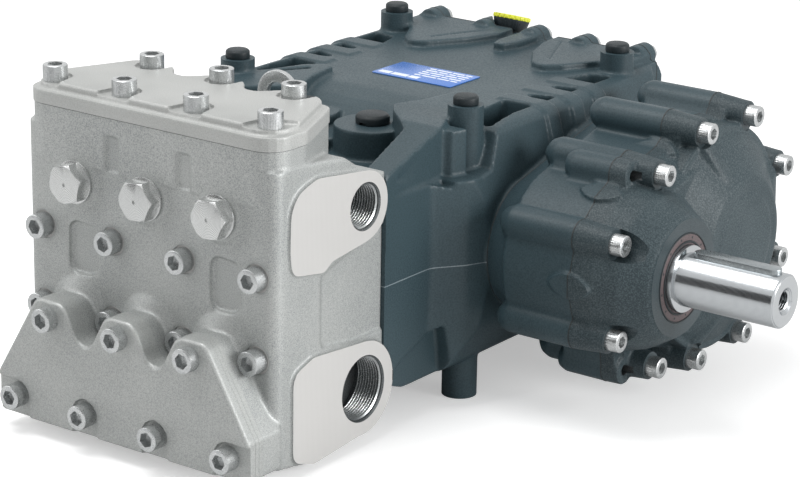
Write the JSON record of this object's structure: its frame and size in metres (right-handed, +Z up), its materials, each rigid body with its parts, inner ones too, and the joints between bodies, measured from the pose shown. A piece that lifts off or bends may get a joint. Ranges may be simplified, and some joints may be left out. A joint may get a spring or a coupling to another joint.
{
  "type": "plunger pump with gearbox",
  "caption": "Horizontal triplex plunger pump: cast pump head with bolted valve covers, crankcase on four columns, and a side gearbox with a keyed input shaft.",
  "frame": {"origin": "middle of the four mounting columns, on the floor under their feet", "axes": "+X towards the gearbox and along its input shaft, +Y from the pump head towards the rear cover, +Z up"},
  "size_m": [0.521, 0.5556, 0.258],
  "materials": {
    "head_casting": "sand cast and nickel plated, machined joint faces and pads",
    "cover_casting": "fine cast and nickel plated",
    "machined_steel": "turned and milled stainless steel",
    "zinc_steel": "zinc plated steel",
    "case_paint": "satin blue-grey enamel on cast iron",
    "gear_cover_paint": "matt grey enamel on rough cast iron",
    "black_plastic": "moulded black polyamide",
    "yellow_plastic": "moulded yellow polyamide",
    "blue_plate": "printed blue foil with plain pale bars",
    "sight_glass": "clear polyamide dome over oil",
    "seal_rubber": "brown fluoro-rubber",
    "ground_steel": "cylindrically ground steel",
    "key_steel": "oiled key steel"
  },
  "bodies": {
    "pump": {"manifold": "head_casting", "top_valve_cover": "cover_casting", "suction_valve_cover": "cover_casting", "valve_plug_1": "machined_steel", "valve_plug_2": "machined_steel", "valve_plug_3": "machined_steel", "plug_washer_1": "machined_steel", "plug_washer_2": "machined_steel", "plug_washer_3": "machined_steel", "discharge_port_plug": "zinc_steel", "suction_port_plug": "zinc_steel", "crankcase": "case_paint", "rear_cover": "case_paint", "side_bearing_cover": "case_paint", "nameplate": "blue_plate", "column_cap_1": "black_plastic", "column_cap_2": "black_plastic", "column_cap_3": "black_plastic", "column_cap_4": "black_plastic", "wet_end_cover_1": "black_plastic", "wet_end_cover_2": "black_plastic", "lifting_eye": "zinc_steel", "oil_filler": "black_plastic", "oil_filler_cap": "yellow_plastic", "oil_sight_glass": "sight_glass", "oil_drain_plug": "zinc_steel", "gearbox_housing": "case_paint", "gearbox_cover": "gear_cover_paint", "shaft_seal": "seal_rubber"},
    "drive_shaft": {"input_shaft": "ground_steel", "shaft_key": "key_steel"}
  },
  "joints": [
    {"name": "input_shaft_turn", "type": "hinge", "parent": "pump", "child": "drive_shaft", "pos_m": [0.245, -0.071, 0.12], "axis": [1, 0, 0], "continuous": true}
  ]
}
